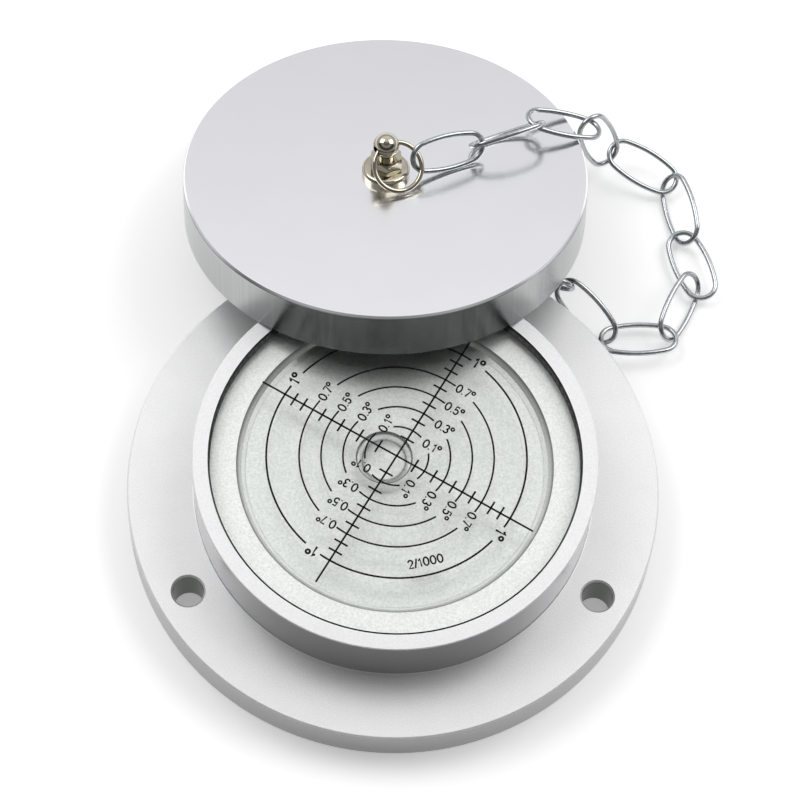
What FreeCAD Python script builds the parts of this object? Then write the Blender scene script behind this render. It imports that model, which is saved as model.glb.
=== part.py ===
import FreeCAD, Part
import math
import os

V = FreeCAD.Vector
UP = V(0, 0, 1)

# Driving dimensions, in millimetres and degrees.
# The origin is the centre of the base's underside, and the dial faces up along +Z.

# Base: a round flange with a collar on it, turned in one
COLLAR_D = 90.0
COLLAR_WALL = 3.5
LEDGE_W = 15.0
FLANGE_H = 10.5
BASE_H = 26.0
BORE_DEPTH = 11.0
EDGE_BREAK = 0.4
RIM_BREAK = 0.2
ROOT_R = 0.2
HOLE_D = 7.0
HOLE_COUNT = 3
HOLE_TURN = 93.9
HOLE_BEVEL = 0.4

# Vial: a clear lens over a shallow chamber of spirit
LENS_H = 4.5
LENS_SUNK = 0.1
SEAL_W = 0.35
SEAL_H = 3.4
CUP_RIM_W = 6.2
BEVEL_W = 2.0
CHAMBER_DEPTH = 2.6
DIAL_T = 0.8
FIT = 0.05
RING_STEP = 2.42
STEP_DEG = 0.1
BUBBLE_D = 12.4
BUBBLE_DEPTH = 1.5
BUBBLE_OFF_X = -2.7
BUBBLE_OFF_Y = -1.0
FILLER_D = 4.0
FILLER_IN = 9.3
FILLER_SLOT_W = 0.8
FILLER_SLOT_DEPTH = 1.0

# Lid: a turned cap that leans on the collar's rim, with its back edge on the ground
LID_CLEARANCE = 0.4
LID_WALL = 1.25
LID_TOP_T = 2.0
LID_H = 11.85
LID_BEVEL = 0.5
LID_ROOT_R = 1.0
LID_REST_TURN = 39.8
LID_HEADING = 95.85

# Ball stud on the lid, with the nuts and washers that hold it
STUD_D = 4.0
STUD_HOLE_D = 4.3
KNOB_WASHER_D = 11.0
KNOB_WASHER_T = 1.9
KNOB_WASHER_ROUND = 0.8
KNOB_NUT_AF = 7.0
KNOB_NUT_H = 3.2
KNOB_NUT_BEVEL = 0.5
BALL_D = 6.0
BALL_LIFT = 8.3
NECK_D = 3.6
CROSS_HOLE_D = 2.6
INNER_WASHER_D = 9.0
INNER_WASHER_T = 0.8
INNER_NUT_AF = 7.0
INNER_NUT_H = 2.2
INNER_NUT_BEVEL = 0.4
STUD_TAIL = 0.6

# Ring through the ball, and the chain's links
RING_D = 11.2
RING_WIRE = 1.15
RING_SEAM = 0.12
RING_SEAM_TURN = 52.0
LINK_L = 17.7
LINK_W = 8.2
LINK_END_R = 3.5
LINK_WIRE = 1.25
CHAIN_GAP = 0.12
RING_HEADING = -141.0
RING_CLIMB = -40.0
RING_ROLL = 12.0
RING_RISE = 0.15
HOME_PULL = 0.03
HOME_DROP = 0.02
THREAD_ROUNDS = 90
HOME_ROUNDS = 120
CLEAR_ROUNDS = 120
NECK_STEPS = 8

# Screw that holds the chain's last link on the flange
ANCHOR_TURN = 80.0
ANCHOR_SHANK_D = 3.0
ANCHOR_NECK_D = 4.0
ANCHOR_NECK_H = 2.0
ANCHOR_HEAD_D = 7.2
ANCHOR_HEAD_H = 2.2
ANCHOR_WASHER_D = 9.6
ANCHOR_WASHER_T = 0.7
ANCHOR_DEPTH = 6.0
ANCHOR_SLOT_W = 1.1
ANCHOR_SLOT_DEPTH = 1.1
ANCHOR_SLOT_TURN = 35.0
ANCHOR_HEAD_BEVEL = 0.4

# Sizes that follow from those above
COLLAR_R = COLLAR_D / 2
FLANGE_R = COLLAR_R + LEDGE_W
LEDGE_R = COLLAR_R + LEDGE_W / 2
BORE_R = COLLAR_R - COLLAR_WALL
CHAMBER_R = BORE_R - CUP_RIM_W
BORE_FLOOR = BASE_H - BORE_DEPTH
LENS_TOP = BASE_H - LENS_SUNK
LENS_BASE = LENS_TOP - LENS_H
LENS_R = BORE_R - SEAL_W
DIAL_TOP = LENS_BASE - CHAMBER_DEPTH
DIAL_R = CHAMBER_R - BEVEL_W
FILLER_OUT = DIAL_R - FILLER_IN
DOME_R = RING_STEP / math.tan(math.radians(STEP_DEG))
LID_IN_R = COLLAR_R + LID_CLEARANCE
LID_R = LID_IN_R + LID_WALL


def turned(profile):
    """Revolve a closed (radius, height) outline about the Z axis."""
    points = [V(radius, 0, height) for radius, height in profile]
    face = Part.Face(Part.makePolygon(points + points[:1]))
    return face.revolve(V(0, 0, 0), UP, 360)


def rod(radius, bottom, top):
    """A round bar on the Z axis from one height to another."""
    return Part.makeCylinder(radius, top - bottom, V(0, 0, bottom))


def hexagon(across_flats, bottom, top, bevel):
    """A hexagon bar with both ends chamfered by a turning cut."""
    corner = across_flats / math.sqrt(3)
    corners = [V(corner, 0, bottom)]
    for side in range(1, 7):
        angle = math.radians(60 * side)
        corners.append(V(corner * math.cos(angle), corner * math.sin(angle), bottom))
    prism = Part.Face(Part.makePolygon(corners)).extrude(V(0, 0, top - bottom))
    flat = across_flats / 2
    crown = turned([
        (0, bottom), (flat, bottom), (corner, bottom + bevel), (corner, top - bevel), (flat, top), (0, top),
    ])
    return prism.common(crown)


def fillet_circle(shape, radius, height, size, bevel=False):
    """Round or bevel the circular edge that has this radius at this height."""
    edges = []
    for edge in shape.Edges:
        curve = edge.Curve
        if not isinstance(curve, Part.Circle):
            continue
        if abs(curve.Radius - radius) < 1e-4 and abs(curve.Center.z - height) < 1e-4:
            edges.append(edge)
    if bevel:
        return shape.makeChamfer(size, edges)
    return shape.makeFillet(size, edges)


# Base

def base_housing():
    """Flange and collar in one, with the vial's bore, three screw holes and the anchor's hole."""
    body = turned([
        (0, 0), (FLANGE_R - EDGE_BREAK, 0), (FLANGE_R, EDGE_BREAK),
        (FLANGE_R, FLANGE_H - EDGE_BREAK), (FLANGE_R - EDGE_BREAK, FLANGE_H),
        (COLLAR_R, FLANGE_H), (COLLAR_R, BASE_H - RIM_BREAK), (COLLAR_R - RIM_BREAK, BASE_H),
        (BORE_R, BASE_H), (BORE_R, BORE_FLOOR), (0, BORE_FLOOR),
    ])
    body = fillet_circle(body, COLLAR_R, FLANGE_H, ROOT_R)
    for number in range(HOLE_COUNT):
        angle = math.radians(HOLE_TURN + 360.0 * number / HOLE_COUNT)
        spot = V(LEDGE_R * math.cos(angle), LEDGE_R * math.sin(angle), 0)
        bore = rod(HOLE_D / 2, -1, FLANGE_H + 1)
        top = Part.makeCone(HOLE_D / 2, HOLE_D / 2 + HOLE_BEVEL, HOLE_BEVEL, V(0, 0, FLANGE_H - HOLE_BEVEL))
        tool = bore.fuse(top)
        tool.translate(spot)
        body = body.cut(tool)
    thread = rod(ANCHOR_SHANK_D / 2, FLANGE_H - ANCHOR_DEPTH, FLANGE_H + 1)
    thread.translate(anchor_spot())
    return body.cut(thread)


def anchor_spot():
    """Where the anchor screw stands on the flange's ledge, in plan."""
    angle = math.radians(ANCHOR_TURN)
    return V(LEDGE_R * math.cos(angle), LEDGE_R * math.sin(angle), 0)


# Vial

def dome_height():
    """Height of the crown of the ball-shaped surface under the lens."""
    return LENS_BASE + DOME_R - math.sqrt(DOME_R ** 2 - CHAMBER_R ** 2)


def dome():
    """The shallow cap between the lens's flat underside and the ball-shaped surface."""
    crown = dome_height()
    ball = Part.makeSphere(DOME_R, V(0, 0, crown - DOME_R))
    return rod(CHAMBER_R, LENS_BASE, crown + 1).common(ball)


def vial_lens():
    """Clear disc with a very shallow hollow below, in which the bubble rides."""
    disc = rod(LENS_R, LENS_BASE, LENS_TOP)
    return disc.cut(dome())


def lens_seal():
    """Dark rubber band between the lens and the bore."""
    low = LENS_BASE
    return turned([(LENS_R, low), (BORE_R, low), (BORE_R, low + SEAL_H), (LENS_R, low + SEAL_H)])


def vial_cup():
    """Pale cup under the lens, with the bevelled chamber and the filler's threaded hole."""
    rim = LENS_BASE - FIT
    cup = turned([
        (0, BORE_FLOOR), (BORE_R - FIT, BORE_FLOOR), (BORE_R - FIT, rim), (CHAMBER_R, rim),
        (DIAL_R, DIAL_TOP), (DIAL_R, DIAL_TOP - DIAL_T), (0, DIAL_TOP - DIAL_T),
    ])
    filler = rod(FILLER_D / 2, BORE_FLOOR - 1, DIAL_TOP)
    filler.translate(V(FILLER_OUT, 0, 0))
    return cup.cut(filler)


def dial_disc():
    """Pale reflector on the chamber's floor."""
    return rod(DIAL_R - FIT, DIAL_TOP - DIAL_T, DIAL_TOP)


def spirit_fill():
    """The liquid, with the bubble's hollow against the lens."""
    low = DIAL_TOP + FIT
    high = LENS_BASE - FIT
    rim = CHAMBER_R - 2 * FIT
    body = turned([(0, low), (DIAL_R - FIT, low), (rim, high), (0, high)])
    crown = dome()
    crown.translate(UP * -FIT)
    body = body.fuse(crown.common(rod(rim, high, BASE_H)))
    top = dome_height()
    low_side = top - BUBBLE_DEPTH
    bubble = rod(BUBBLE_D / 2, low_side, top + 1)
    bubble = fillet_circle(bubble, BUBBLE_D / 2, low_side, BUBBLE_DEPTH / 2)
    bubble.translate(V(BUBBLE_OFF_X, BUBBLE_OFF_Y, 0))
    return body.cut(bubble).removeSplitter()


def filler_plug():
    """Slotted plug that closes the hole through which the vial is filled."""
    plug = rod(FILLER_D / 2, BORE_FLOOR, DIAL_TOP - DIAL_T)
    slot = Part.makeBox(FILLER_D + 2, FILLER_SLOT_W, FILLER_SLOT_DEPTH)
    slot.translate(V(-FILLER_D / 2 - 1, -FILLER_SLOT_W / 2, BORE_FLOOR))
    plug = plug.cut(slot)
    plug.translate(V(FILLER_OUT, 0, 0))
    return plug


# Lid, drawn upright with its mouth at height 0 and then leaned on the base

def lid_seat():
    """Placement of the leaning lid: back edge on the ground, mouth edge on the collar's rim at two points."""
    front = LID_IN_R * math.cos(math.radians(LID_REST_TURN))
    side = LID_IN_R * math.sin(math.radians(LID_REST_TURN))
    lean = math.asin(BASE_H / (LID_R + front))
    reach = front * math.cos(lean) + math.sqrt(COLLAR_R ** 2 - side ** 2)
    heading = math.radians(LID_HEADING)
    centre = V(reach * math.cos(heading), reach * math.sin(heading), LID_R * math.sin(lean))
    turn = FreeCAD.Rotation(UP, LID_HEADING)
    tip = FreeCAD.Rotation(V(0, 1, 0), math.degrees(lean))
    return FreeCAD.Placement(centre, turn.multiply(tip))


def lid():
    """Cap with a thin skirt, a bevelled top edge and the stud's hole."""
    cap = turned([
        (LID_IN_R, 0), (LID_R - EDGE_BREAK / 2, 0), (LID_R, EDGE_BREAK / 2), (LID_R, LID_H - LID_BEVEL),
        (LID_R - LID_BEVEL, LID_H), (0, LID_H), (0, LID_H - LID_TOP_T), (LID_IN_R, LID_H - LID_TOP_T),
    ])
    cap = fillet_circle(cap, LID_IN_R, LID_H - LID_TOP_T, LID_ROOT_R)
    return cap.cut(rod(STUD_HOLE_D / 2, LID_H - LID_TOP_T - 1, LID_H + 1))


def knob_washer():
    """Round washer under the knob's nut, with a rounded upper edge."""
    outer = KNOB_WASHER_D / 2
    high = LID_H + KNOB_WASHER_T
    disc = rod(outer, LID_H, high)
    disc = fillet_circle(disc, outer, high, KNOB_WASHER_ROUND)
    return disc.cut(rod(STUD_HOLE_D / 2, LID_H - 1, high + 1))


def knob_nut():
    """Hexagon nut that locks the stud from above."""
    low = LID_H + KNOB_WASHER_T
    nut = hexagon(KNOB_NUT_AF, low, low + KNOB_NUT_H, KNOB_NUT_BEVEL)
    return nut.cut(rod(STUD_D / 2, low - 1, low + KNOB_NUT_H + 1))


def inner_washer():
    """Thin washer against the lid's inner face."""
    high = LID_H - LID_TOP_T
    disc = rod(INNER_WASHER_D / 2, high - INNER_WASHER_T, high)
    return disc.cut(rod(STUD_HOLE_D / 2, high - INNER_WASHER_T - 1, high + 1))


def inner_nut():
    """Hexagon nut inside the lid."""
    high = LID_H - LID_TOP_T - INNER_WASHER_T
    nut = hexagon(INNER_NUT_AF, high - INNER_NUT_H, high, INNER_NUT_BEVEL)
    return nut.cut(rod(STUD_D / 2, high - INNER_NUT_H - 1, high + 1))


def ball_stud(ring_axis):
    """Threaded stud with a neck and a ball, cross-drilled for the ring."""
    low = LID_H - LID_TOP_T - INNER_WASHER_T - INNER_NUT_H - STUD_TAIL
    shoulder = LID_H + KNOB_WASHER_T + KNOB_NUT_H
    centre = LID_H + BALL_LIFT
    shank = rod(STUD_D / 2, low, shoulder)
    neck = rod(NECK_D / 2, shoulder, centre)
    ball = Part.makeSphere(BALL_D / 2, V(0, 0, centre))
    stud = shank.fuse([neck, ball])
    drill = Part.makeCylinder(CROSS_HOLE_D / 2, BALL_D * 2, V(0, 0, centre) - ring_axis * BALL_D, ring_axis)
    return stud.cut(drill).removeSplitter()


# Chain

def oval_path():
    """Four tangent arcs of one link: (centre, radius, first angle, last angle), in the link's plane."""
    half_l = LINK_L / 2
    half_w = LINK_W / 2
    end = half_l - LINK_END_R
    side_r = (end ** 2 + half_w ** 2 - LINK_END_R ** 2) / (2 * (half_w - LINK_END_R))
    drop = side_r - half_w
    turn = math.degrees(math.atan2(drop, end))
    return [
        (V(end, 0, 0), LINK_END_R, -turn, turn),
        (V(0, -drop, 0), side_r, turn, 180 - turn),
        (V(-end, 0, 0), LINK_END_R, 180 - turn, 180 + turn),
        (V(0, drop, 0), side_r, 180 + turn, 360 - turn),
    ]


def oval_points(end_steps=20, side_steps=24):
    """Points round the middle of a link's wire."""
    points = []
    for number, (centre, radius, first, last) in enumerate(oval_path()):
        steps = end_steps if number % 2 == 0 else side_steps
        for step in range(steps):
            angle = math.radians(first + (last - first) * step / steps)
            points.append(centre + V(radius * math.cos(angle), radius * math.sin(angle), 0))
    return points


def link_solid():
    """One link: round wire bent along its four arcs."""
    edges = []
    for centre, radius, first, last in oval_path():
        circle = Part.Circle(centre, UP, radius)
        edges.append(Part.Edge(circle, math.radians(first), math.radians(last)))
    path = Part.Wire(edges)
    start = path.Edges[0].valueAt(path.Edges[0].FirstParameter)
    tangent = path.Edges[0].tangentAt(path.Edges[0].FirstParameter)
    section = Part.Wire([Part.Edge(Part.Circle(start, tangent, LINK_WIRE / 2))])
    return path.makePipeShell([section], True, False)


def ring_seat():
    """The ring's plane and centre in the lid's frame: it hangs from the ball's cross hole."""
    place = link_place(V(0, 0, LID_H + BALL_LIFT), RING_HEADING, RING_CLIMB, RING_ROLL)
    place.move(place.Rotation.multVec(V(RING_D / 2 - RING_RISE, 0, 0)))
    return place


def circle_points(place, radius, steps=48):
    """Points round a circle that lies in this placement's XY plane."""
    points = []
    for step in range(steps):
        angle = 2 * math.pi * step / steps
        points.append(place.multVec(V(radius * math.cos(angle), radius * math.sin(angle), 0)))
    return points


def link_place(base, heading, climb, roll):
    """A link's placement: where its middle is, where its length points and how it is rolled."""
    turn = FreeCAD.Rotation(UP, heading)
    turn = turn.multiply(FreeCAD.Rotation(V(0, 1, 0), -climb))
    turn = turn.multiply(FreeCAD.Rotation(V(1, 0, 0), roll))
    return FreeCAD.Placement(base, turn)


def nudged(place, point, shift):
    """A rigid link after one of its points is moved by shift: part slide, part turn."""
    size = shift.Length
    if size < 1e-7:
        return place
    reach = (LINK_L / 2) ** 2 / 2
    lever = (point - place.Base).cross(shift / size)
    share = 1 / (1 + lever.dot(lever) / reach)
    base = place.Base + shift * share
    if lever.Length < 1e-7:
        return FreeCAD.Placement(base, place.Rotation)
    angle = math.degrees(size * share * lever.Length / reach)
    return FreeCAD.Placement(base, FreeCAD.Rotation(lever, angle).multiply(place.Rotation))


def nearest(first, second):
    """The closest pair of points between two lists, and how far apart they are."""
    best = 1e9
    pair = None
    for one in first:
        for other in second:
            gap = one.distanceToPoint(other)
            if gap < best:
                best = gap
                pair = (one, other)
    return best, pair


def way_out(point, bodies):
    """The shortest shift that brings the middle of a wire out of the ground and of round bodies."""
    radius = LINK_WIRE / 2 + FIT
    shift = V(0, 0, 0)
    if point.z < radius:
        shift = V(0, 0, radius - point.z)
    for place, size, low, high in bodies:
        spot = place.inverse().multVec(point)
        out = math.hypot(spot.x, spot.y)
        side = size + radius - out
        top = high + radius - spot.z
        under = spot.z - low + radius
        depth = min(side, top, under)
        if depth <= 0:
            continue
        if depth == top:
            move = V(0, 0, top)
        elif depth == side:
            move = V(spot.x, spot.y, 0) * (side / max(out, 0.1))
        else:
            move = V(0, 0, -under)
        shift = shift + place.Rotation.multVec(move)
    return shift


def wire_gaps(count):
    """Distances kept between wires' middles: ring to first link, link to link, last link to the neck."""
    gaps = [(RING_WIRE + LINK_WIRE) / 2]
    gaps.extend([LINK_WIRE] * (count - 1))
    gaps.append((ANCHOR_NECK_D + LINK_WIRE) / 2)
    return [gap + CHAIN_GAP for gap in gaps]


def moved_pair(places, number, first, second, way):
    """Move two neighbouring wires apart by this much, shared where both are links."""
    share = 0.5 if 0 < number < len(places) else 1.0
    if number > 0:
        places[number - 1] = nudged(places[number - 1], first, way * -share)
    if number < len(places):
        places[number] = nudged(places[number], second, way * share)


def thread_links(places, ring, neck, gaps):
    """Bring each link's near end through the opening of the one before it."""
    tail = V(-LINK_L / 2, 0, 0)
    middle = (ring[0] + ring[len(ring) // 2]) / 2
    for number, gap in enumerate(gaps):
        mouth = V(LINK_L / 2 - gap, 0, 0)
        if number == 0:
            point = places[0].multVec(tail)
            spot = nearest([point], ring)[1][1]
            goal = spot + (middle - spot).normalize() * gap
        elif number == len(places):
            point = neck[len(neck) // 2]
            goal = places[-1].multVec(mouth)
        else:
            point = places[number].multVec(tail)
            goal = places[number - 1].multVec(mouth)
        moved_pair(places, number, goal, point, goal - point)


def space_links(places, ring, neck, gaps):
    """Bring each pair of neighbouring wires to their running distance."""
    shape = oval_points()
    far = [point for point in shape if point.x >= 0]
    near = [point for point in shape if point.x <= 0]
    for number, low in enumerate(gaps):
        behind = ring
        ahead = neck
        if number > 0:
            behind = [places[number - 1].multVec(point) for point in far]
        if number < len(places):
            ahead = [places[number].multVec(point) for point in near]
        gap, pair = nearest(behind, ahead)
        change = max(low - gap, 0) + min(low + CHAIN_GAP - gap, 0)
        if change:
            moved_pair(places, number, pair[0], pair[1], (pair[1] - pair[0]) * (change / gap))


def seat_links(places, bodies):
    """Lift each link out of what it lies on, at its deepest point."""
    shape = oval_points()
    for number, place in enumerate(places):
        spots = [place.multVec(local) for local in shape]
        shifts = [way_out(spot, bodies) for spot in spots]
        deepest = max(range(len(shifts)), key=lambda index: shifts[index].Length)
        places[number] = nudged(place, spots[deepest], shifts[deepest])


def draw_home(places, homes):
    """Bring each link a little nearer to where it was seen to lie, and let it drop a little."""
    for number, home in enumerate(homes):
        place = places[number]
        base = place.Base + (home.Base - place.Base) * HOME_PULL - UP * HOME_DROP
        places[number] = FreeCAD.Placement(base, place.Rotation.slerp(home.Rotation, HOME_PULL))


def settled(homes, ring, neck, bodies):
    """Let the links find their seats: hooked in their neighbours, clear of the bodies, near their homes."""
    places = list(homes)
    gaps = wire_gaps(len(places))
    for turn in range(THREAD_ROUNDS):
        draw_home(places, homes)
        thread_links(places, ring, neck, gaps)
        seat_links(places, bodies)
    for turn in range(HOME_ROUNDS):
        draw_home(places, homes)
        space_links(places, ring, neck, gaps)
        seat_links(places, bodies)
    for turn in range(CLEAR_ROUNDS):
        seat_links(places, bodies)
        space_links(places, ring, neck, gaps)
    return places


def chain_homes():
    """Where each link lies, by eye: on the lid, down from its edge, on the ground, up to the screw.

    Places are in link lengths, so they keep to the links' size.
    """
    seat = lid_seat()
    on_lid = [
        (0.10, -0.84, 0.19, -80, -3, 63),
        (0.47, -1.60, 0.22, -79, 3, -42),
        (0.77, -2.38, 0.15, -93, -18, -2),
    ]
    on_ground = [
        (2.24, 65.4, 0.80, -28, -60, 24),
        (2.47, 58.7, 0.26, -27, -12, 18),
        (2.32, 51.5, 0.20, -77, 3, 50),
        (1.86, 44.3, 0.12, -65, -3, 10),
        (1.30, 40.0, 0.19, -108, 4, -56),
        (0.55, 38.9, 0.18, -172, 4, 12),
    ]
    on_ledge = [
        (0.21, 49.6, -0.10, 139, 12, -50),
        (0.06, 61.5, 0.10, 180, 14, 80),
        (-0.37, 73.0, 0.05, -170, -4, 0),
    ]
    homes = []
    for away, left, lift, heading, climb, roll in on_lid:
        spot = V(LINK_L * away, LINK_L * left, LID_H + LINK_L * lift)
        homes.append(seat.multiply(link_place(spot, heading, climb, roll)))
    for ground, rows in ((0, on_ground), (FLANGE_H, on_ledge)):
        for out, angle, lift, heading, climb, roll in rows:
            radius = FLANGE_R + LINK_L * out
            turn = math.radians(angle)
            spot = V(radius * math.cos(turn), radius * math.sin(turn), ground + LINK_L * lift)
            homes.append(link_place(spot, heading, climb, roll))
    return homes


def chain_places():
    """The links' final placements, from the ring on the lid to the screw on the flange."""
    seat = lid_seat()
    level = FreeCAD.Placement()
    screw = FreeCAD.Placement(anchor_spot(), FreeCAD.Rotation())
    neck_top = FLANGE_H + ANCHOR_NECK_H
    bodies = [
        (level, FLANGE_R, 0, FLANGE_H),
        (level, COLLAR_R, 0, BASE_H),
        (seat, LID_R, 0, LID_H),
        (seat, KNOB_WASHER_D / 2, LID_H, LID_H + KNOB_WASHER_T),
        (seat, BALL_D / 2, LID_H, LID_H + BALL_LIFT + BALL_D / 2),
        (screw, ANCHOR_WASHER_D / 2, neck_top, neck_top + ANCHOR_WASHER_T + ANCHOR_HEAD_H),
    ]
    ring = circle_points(seat.multiply(ring_seat()), RING_D / 2)
    neck = []
    for step in range(NECK_STEPS + 1):
        neck.append(anchor_spot() + V(0, 0, FLANGE_H + ANCHOR_NECK_H * step / NECK_STEPS))
    return settled(chain_homes(), ring, neck, bodies)


def split_ring():
    """Round wire ring with a hairline seam, drawn flat with its middle at the origin."""
    ring = Part.makeTorus(RING_D / 2, RING_WIRE / 2)
    seam = Part.makeBox(RING_WIRE * 2, RING_SEAM, RING_WIRE * 2)
    seam.translate(V(RING_D / 2 - RING_WIRE, -RING_SEAM / 2, -RING_WIRE))
    seam.rotate(V(0, 0, 0), UP, RING_SEAM_TURN)
    return ring.cut(seam)


# Screw at the chain's other end

def anchor_screw():
    """Shoulder screw: a plain neck for the last link, a slotted head above and the thread below."""
    seat = FLANGE_H
    head_low = seat + ANCHOR_NECK_H + ANCHOR_WASHER_T
    head_top = head_low + ANCHOR_HEAD_H
    head = rod(ANCHOR_HEAD_D / 2, head_low, head_top)
    head = fillet_circle(head, ANCHOR_HEAD_D / 2, head_top, ANCHOR_HEAD_BEVEL, bevel=True)
    slot = Part.makeBox(ANCHOR_HEAD_D * 2, ANCHOR_SLOT_W, ANCHOR_SLOT_DEPTH * 2)
    slot.translate(V(-ANCHOR_HEAD_D, -ANCHOR_SLOT_W / 2, head_top - ANCHOR_SLOT_DEPTH))
    slot.rotate(V(0, 0, 0), UP, ANCHOR_SLOT_TURN)
    neck = rod(ANCHOR_NECK_D / 2, seat, head_low)
    shank = rod(ANCHOR_SHANK_D / 2 - FIT, seat - ANCHOR_DEPTH + STUD_TAIL, seat)
    screw = head.cut(slot).fuse([neck, shank]).removeSplitter()
    screw.translate(anchor_spot())
    return screw


def anchor_washer():
    """Washer under the screw's head, wider than the link's opening."""
    low = FLANGE_H + ANCHOR_NECK_H
    high = low + ANCHOR_WASHER_T
    washer = rod(ANCHOR_WASHER_D / 2, low, high).cut(rod(ANCHOR_NECK_D / 2 + FIT, low - 1, high + 1))
    washer.translate(anchor_spot())
    return washer


def placed(shape, place):
    """The shape's single solid, set at a placement."""
    solid = shape.Solids[0]
    solid.Placement = place.multiply(solid.Placement)
    return solid


def all_parts():
    """Every piece by name, each at its place in the shared frame."""
    level = FreeCAD.Placement()
    seat = lid_seat()
    ring_place = ring_seat()
    ring_axis = ring_place.Rotation.multVec(V(0, 1, 0))
    parts = {
        "base_housing": placed(base_housing(), level),
        "vial_cup": placed(vial_cup(), level),
        "dial_disc": placed(dial_disc(), level),
        "spirit_fill": placed(spirit_fill(), level),
        "vial_lens": placed(vial_lens(), level),
        "lens_seal": placed(lens_seal(), level),
        "filler_plug": placed(filler_plug(), level),
        "anchor_screw": placed(anchor_screw(), level),
        "anchor_washer": placed(anchor_washer(), level),
        "lid": placed(lid(), seat),
        "knob_washer": placed(knob_washer(), seat),
        "knob_nut": placed(knob_nut(), seat),
        "ball_stud": placed(ball_stud(ring_axis), seat),
        "inner_washer": placed(inner_washer(), seat),
        "inner_nut": placed(inner_nut(), seat),
        "split_ring": placed(split_ring(), seat.multiply(ring_place)),
    }
    for number, place in enumerate(chain_places(), 1):
        parts[f"chain_link_{number:02d}"] = placed(link_solid(), place)
    return parts


def main():
    os.makedirs("parts", exist_ok=True)
    for name, solid in all_parts().items():
        solid.exportStep(f"parts/{name}.step")
        print(name, round(solid.Volume, 1))


if __name__ == "__main__":
    main()
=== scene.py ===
# %% [markdown]
# # A circular bubble level with its lid off
#
# The real thing is a round vial in a turned aluminium base. A polished lid leans on the base's collar,
# and a short chain keeps the two together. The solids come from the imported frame, at their real size.
# This file gives them their finishes, fills the vial, prints the dial and lights the scene.
#
# The frame is loaded first, because the other cells measure from it.

# %% Load the frame
import math

import bmesh
import bpy
from mathutils import Matrix, Vector


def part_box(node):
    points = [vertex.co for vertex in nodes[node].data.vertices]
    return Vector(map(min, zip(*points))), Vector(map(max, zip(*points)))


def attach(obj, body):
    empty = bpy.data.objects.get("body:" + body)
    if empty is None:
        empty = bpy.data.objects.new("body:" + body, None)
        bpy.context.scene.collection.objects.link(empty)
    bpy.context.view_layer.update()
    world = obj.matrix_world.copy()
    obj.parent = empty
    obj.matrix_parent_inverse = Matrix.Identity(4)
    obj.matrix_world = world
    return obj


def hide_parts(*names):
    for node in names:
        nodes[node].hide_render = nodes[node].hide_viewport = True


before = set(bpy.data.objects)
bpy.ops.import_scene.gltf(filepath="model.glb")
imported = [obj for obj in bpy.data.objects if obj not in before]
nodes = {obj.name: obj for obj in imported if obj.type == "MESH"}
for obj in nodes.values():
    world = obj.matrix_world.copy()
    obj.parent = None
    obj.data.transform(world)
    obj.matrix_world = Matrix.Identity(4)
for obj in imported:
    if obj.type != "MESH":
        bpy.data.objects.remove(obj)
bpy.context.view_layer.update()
scene = bpy.context.scene
scene.view_settings.view_transform = "Standard"
MM = 0.001
print("solids away from the origin:", sum(solid.matrix_world != Matrix() for solid in nodes.values()))

# %% [markdown]
# ## Node maths as Python expressions
#
# A node tree is a formula drawn as boxes. Small formulas read better as text, so one class wraps a
# socket and takes Python's operators. Each operator adds one Math node, in a material's tree or in a
# Geometry Nodes tree alike. The reflected forms are there too, so that `1 - mask` works.

# %% Signals
def plug(tree, slot, value):
    """Link a signal or a socket to a slot, or write a plain value on it."""
    if isinstance(value, Signal):
        value = value.socket
    if isinstance(value, bpy.types.NodeSocket):
        tree.links.new(value, slot)
    else:
        slot.default_value = value


class Signal:
    """A value that flows in a node tree, and that Python's operators work on."""

    def __init__(self, tree, socket):
        self.tree = tree
        self.socket = socket

    def math(self, operation, first, second):
        """One Math node on two values."""
        node = self.tree.nodes.new("ShaderNodeMath")
        node.operation = operation
        plug(self.tree, node.inputs[0], first)
        plug(self.tree, node.inputs[1], second)
        return Signal(self.tree, node.outputs[0])

    def __add__(self, other):
        return self.math("ADD", self, other)

    def __sub__(self, other):
        return self.math("SUBTRACT", self, other)

    def __rsub__(self, other):
        return self.math("SUBTRACT", other, self)

    def __mul__(self, other):
        return self.math("MULTIPLY", self, other)

    def __truediv__(self, other):
        return self.math("DIVIDE", self, other)

    def __neg__(self):
        return self * -1.0

    __radd__ = __add__
    __rmul__ = __mul__

    def least(self, other):
        return self.math("MINIMUM", self, other)

    def most(self, other):
        return self.math("MAXIMUM", self, other)

    def angle_from(self, other):
        """The angle whose sine and cosine go as this signal and the other."""
        return self.math("ARCTAN2", self, other)

    def above(self, edge, soft):
        """0 below the edge and 1 above it, with a soft step this wide."""
        step = (self - (edge - soft / 2)) / soft
        step.socket.node.use_clamp = True
        return step

    def between(self, low, high, soft):
        """1 from the low edge to the high one, and 0 outside."""
        return self.above(low, soft) * (1 - self.above(high, soft))


# %% [markdown]
# A second class adds any other node, with its settings and its inputs. Settings come first, because a
# node such as Mix or Vector Math changes its sockets with them.

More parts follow.
